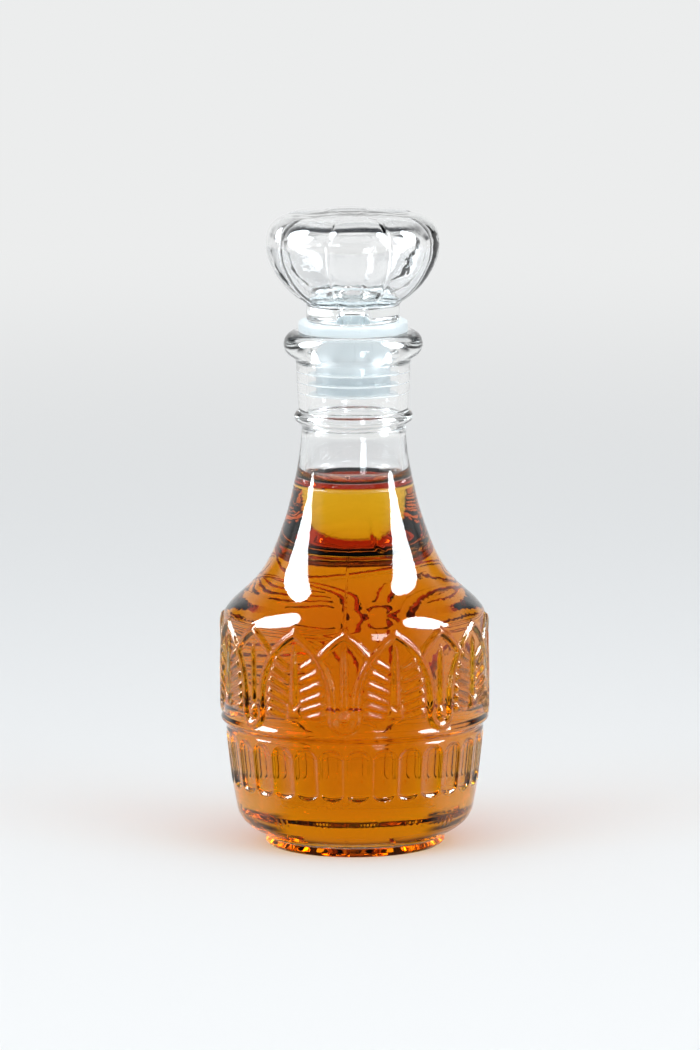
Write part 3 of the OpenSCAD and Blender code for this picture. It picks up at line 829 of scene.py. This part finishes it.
# %% What sees the studio
PALE = "#ECEDED"
FLAG = "#3C3E42"
CAMERA_TURN = np.radians(4.65)


def seen_directly(tree):
    """1 for a ray from the camera, a reflection or a refraction, and 0 for the light that falls on
    matt things."""
    ray = node(tree, "ShaderNodeLightPath").outputs
    seen = node(
        tree, "ShaderNodeMath", {"operation": "MAXIMUM"}, _0=ray["Is Camera Ray"], _1=ray["Is Glossy Ray"],
    )
    seen = node(
        tree, "ShaderNodeMath", {"operation": "MAXIMUM"}, _0=seen.outputs[0], _1=ray["Is Transmission Ray"],
    )
    return seen.outputs[0]


def front_card(tree, place):
    """1 where a reflection looks out towards the camera's side, and 0 elsewhere: a smooth step over
    the cosine of the angle between the way the point lies from the bottle and the way to the camera.
    Light that came through glass counts as glossy too, so it is taken out again, and nothing seen
    through the bottle from behind turns dark."""
    flat = node(tree, "ShaderNodeVectorMath", {"operation": "MULTIPLY"}, _0=place, _1=(1, 1, 0))
    unit = node(tree, "ShaderNodeVectorMath", {"operation": "NORMALIZE"}, _0=flat.outputs[0])
    turned = node(
        tree, "ShaderNodeVectorRotate", {"rotation_type": "Z_AXIS"},
        Vector=unit.outputs[0], Angle=-CAMERA_TURN,
    )
    axes = node(tree, "ShaderNodeSeparateXYZ", Vector=turned.outputs[0])
    front = node(
        tree, "ShaderNodeMapRange", {"interpolation_type": "SMOOTHSTEP"},
        Value=axes.outputs["Y"], From_Min=-0.7, From_Max=-0.25, To_Min=1.0, To_Max=0.0,
    )
    ray = node(tree, "ShaderNodeLightPath").outputs
    mirrored = node(
        tree, "ShaderNodeMath", {"operation": "SUBTRACT", "use_clamp": True},
        _0=ray["Is Glossy Ray"], _1=ray["Is Transmission Ray"],
    )
    card = node(
        tree, "ShaderNodeMath", {"operation": "MULTIPLY"}, _0=front.outputs[0], _1=mirrored.outputs[0],
    )
    return card.outputs[0]


print("pale", PALE, "flags", FLAG, "camera turned", round(float(np.degrees(CAMERA_TURN)), 2), "degrees")

# %% [markdown]
# The table is a wide matt disc, which keeps the bottle's shadow. Far from the bottle it turns into a
# plain glow of the same colour, so that it meets the room without a line.

# %% Table
TABLE_R = 9.0
FADE_FROM, FADE_TO = 0.25, 1.3
turns = np.linspace(0, 2 * np.pi, 96, endpoint=False)
rim = np.stack([TABLE_R * np.cos(turns), TABLE_R * np.sin(turns), 0 * turns], -1)
table_mesh = bpy.data.meshes.new("table_top")
table_mesh.from_pydata(rim.tolist(), [], [list(range(len(rim)))])
table = bpy.data.objects.new("table_top", table_mesh)
bpy.context.scene.collection.objects.link(table)

paper, tree, out = material("pale_paper")
place = node(tree, "ShaderNodeTexCoord").outputs["Object"]
away = node(tree, "ShaderNodeVectorMath", {"operation": "LENGTH"}, _0=place)
far = node(
    tree, "ShaderNodeMapRange", {"interpolation_type": "SMOOTHSTEP"},
    Value=away.outputs["Value"], From_Min=FADE_FROM, From_Max=FADE_TO,
)
fade = node(tree, "ShaderNodeMath", {"operation": "MULTIPLY"}, _0=seen_directly(tree), _1=far.outputs[0])
matt = node(tree, "ShaderNodeBsdfDiffuse", Color=linear(PALE))
glow = node(tree, "ShaderNodeEmission", Color=linear(PALE), Strength=1.0)
both = node(tree, "ShaderNodeMixShader", _0=fade.outputs[0], _1=matt.outputs[0], _2=glow.outputs[0])
card = node(tree, "ShaderNodeEmission", Color=linear(FLAG), Strength=1.0)
both = node(tree, "ShaderNodeMixShader", _0=front_card(tree, place), _1=both.outputs[0], _2=card.outputs[0])
tree.links.new(both.outputs[0], out.inputs["Surface"])
table_mesh.materials.append(paper)
print("table", 2 * TABLE_R, "m across")

# %% [markdown]
# The room is the world's background. Its dark zones and ceiling are worked out from the way a ray
# goes, and only reflections and refractions see them. The camera sees plain pale walls, and matt
# things get an even, dimmer light.

# %% Room
DIM = "#A6AAAE"
world = bpy.data.worlds.new("room")
world.use_nodes = True
tree = world.node_tree
tree.nodes.clear()
place = node(tree, "ShaderNodeTexCoord").outputs["Generated"]
turned = node(tree, "ShaderNodeVectorRotate", {"rotation_type": "Z_AXIS"}, Vector=place, Angle=-CAMERA_TURN)
axes = node(tree, "ShaderNodeSeparateXYZ", Vector=turned.outputs[0])
# twice the product of x and y is the sine of twice the azimuth, so it is large at the four diagonals
diagonal = node(tree, "ShaderNodeMath", {"operation": "MULTIPLY"}, _0=axes.outputs["X"], _1=axes.outputs["Y"])
diagonal = node(tree, "ShaderNodeMath", {"operation": "ABSOLUTE"}, _0=diagonal.outputs[0])
flags = node(
    tree, "ShaderNodeMapRange", {"interpolation_type": "SMOOTHSTEP"},
    Value=diagonal.outputs[0], From_Min=0.34, From_Max=0.44,
)
raised = node(
    tree, "ShaderNodeMapRange", {"interpolation_type": "SMOOTHSTEP"},
    Value=axes.outputs["Z"], From_Min=0.10, From_Max=0.25,
)
ceiling = node(
    tree, "ShaderNodeMapRange", {"interpolation_type": "SMOOTHSTEP"},
    Value=axes.outputs["Z"], From_Min=0.36, From_Max=0.68,
)
flags = node(tree, "ShaderNodeMath", {"operation": "MULTIPLY"}, _0=flags.outputs[0], _1=raised.outputs[0])
dark = node(tree, "ShaderNodeMath", {"operation": "MAXIMUM"}, _0=flags.outputs[0], _1=ceiling.outputs[0])
dark = node(tree, "ShaderNodeMath", {"operation": "MAXIMUM"}, _0=dark.outputs[0], _1=front_card(tree, place))
walls = node(
    tree, "ShaderNodeMix", {"data_type": "RGBA"}, _0=dark.outputs[0], _6=linear(PALE), _7=linear(FLAG),
)
shown = node(
    tree, "ShaderNodeMix", {"data_type": "RGBA"}, _0=seen_directly(tree), _6=linear(DIM), _7=walls.outputs[2],
)
ray = node(tree, "ShaderNodeLightPath").outputs
shown = node(
    tree, "ShaderNodeMix", {"data_type": "RGBA"},
    _0=ray["Is Camera Ray"], _6=shown.outputs[2], _7=linear(PALE),
)
background = node(tree, "ShaderNodeBackground", Color=shown.outputs[2], Strength=1.0)
sky = node(tree, "ShaderNodeOutputWorld")
tree.links.new(background.outputs[0], sky.inputs["Surface"])
bpy.context.scene.world = world
print("room:", len(tree.nodes), "nodes")

# %% [markdown]
# ## Lamps
#
# Two tall soft boxes at the sides leave the long white streaks, a small one makes the glints in front,
# and wide soft lights, which gloss doesn't see, light the rest. Glass mirrors about a twentieth of
# what meets it, so the strips are bright enough to show as white in that. They would be far too
# bright on matt things, so they give those no light.

# %% Soft boxes
LAMP_AIM_Z = 0.09
COOL = (0.86, 0.94, 1.0)


def soft_box(name, azimuth, elevation, distance, width, height, radiance, for_gloss):
    """An oval soft box that faces the bottle from an azimuth, counted from the camera's side, and an
    elevation. Its power is pi times its area, a quarter pi times width and height, times the radiance
    that is wanted. A lamp for gloss gives no light to matt things. Any other isn't seen in gloss, nor
    through glass by a ray that hasn't met anything matt yet."""
    turn, tilt = CAMERA_TURN + np.radians(azimuth), np.radians(elevation)
    way = Vector((np.sin(turn) * np.cos(tilt), -np.cos(turn) * np.cos(tilt), np.sin(tilt)))
    lamp = bpy.data.lights.new(name, "AREA")
    lamp.shape = "ELLIPSE"
    lamp.size, lamp.size_y = width, height
    lamp.energy = radiance * np.pi * (np.pi / 4 * width * height)
    made = bpy.data.objects.new(name, lamp)
    bpy.context.scene.collection.objects.link(made)
    made.location = Vector((0, 0, LAMP_AIM_Z)) + way * distance
    made.rotation_euler = (-way).to_track_quat("-Z", "Y").to_euler()
    made.visible_camera = False
    lamp.use_nodes = True
    tree = lamp.node_tree
    ray = node(tree, "ShaderNodeLightPath").outputs
    strength = node(tree, "ShaderNodeMath", {"operation": "LESS_THAN"}, _0=ray["Diffuse Depth"], _1=0.5)
    if for_gloss:
        lamp.color = COOL
        made.visible_diffuse = False
    else:
        hidden = node(
            tree, "ShaderNodeMath", {"operation": "MULTIPLY"},
            _0=strength.outputs[0], _1=ray["Is Transmission Ray"],
        )
        strength = node(tree, "ShaderNodeMath", {"operation": "SUBTRACT"}, _0=1.0, _1=hidden.outputs[0])
        made.visible_glossy = False
    tree.links.new(strength.outputs[0], tree.nodes["Emission"].inputs["Strength"])
    print(name, round(lamp.energy, 1), "W")


soft_box("left_strip", -92, 34, 0.75, 0.42, 0.76, 23.0, True)
soft_box("right_strip", 80, 34, 0.75, 0.42, 0.76, 23.0, True)
soft_box("small_window", 21, 4, 1.5, 0.34, 0.30, 13.0, True)
soft_box("top_light", 0, 80, 1.6, 1.8, 1.8, 1.95, False)
soft_box("left_fill", -55, 35, 1.6, 1.15, 1.15, 1.95, False)
soft_box("right_fill", 55, 35, 1.6, 1.15, 1.15, 1.95, False)

# %% [markdown]
# ## Camera and settings
#
# A long lens from two and a half metres, a little above the bottle, turned slightly to the right of
# its seam and rolled by a quarter of a degree.

# %% Camera
CAMERA_TILT = np.radians(9.2)
CAMERA_ROLL = np.radians(-0.26)
CAMERA_AWAY, FAR_CLIP = 2.43, 20
LENS, SENSOR = 297.6, 36
AIM_Z, AIM_LEFT = 0.090, 0.00112
across = np.cos(CAMERA_TILT)
back = np.array([np.sin(CAMERA_TURN) * across, -np.cos(CAMERA_TURN) * across, np.sin(CAMERA_TILT)])
right = np.array([np.cos(CAMERA_TURN), np.sin(CAMERA_TURN), 0])
camera_data = bpy.data.cameras.new("camera")
camera_data.lens = LENS
camera_data.sensor_width = SENSOR
camera_data.clip_end = FAR_CLIP
camera = bpy.data.objects.new("camera", camera_data)
bpy.context.scene.collection.objects.link(camera)
camera.location = np.array([0, 0, AIM_Z]) - right * AIM_LEFT + back * CAMERA_AWAY
look = Vector(-back).to_track_quat("-Z", "Y")
camera.rotation_euler = (look @ Quaternion((0, 0, 1), CAMERA_ROLL)).to_euler()
bpy.context.scene.camera = camera
bpy.context.scene.view_settings.view_transform = "Standard"
print("camera at", np.round(camera.location, 3).tolist(), "m")
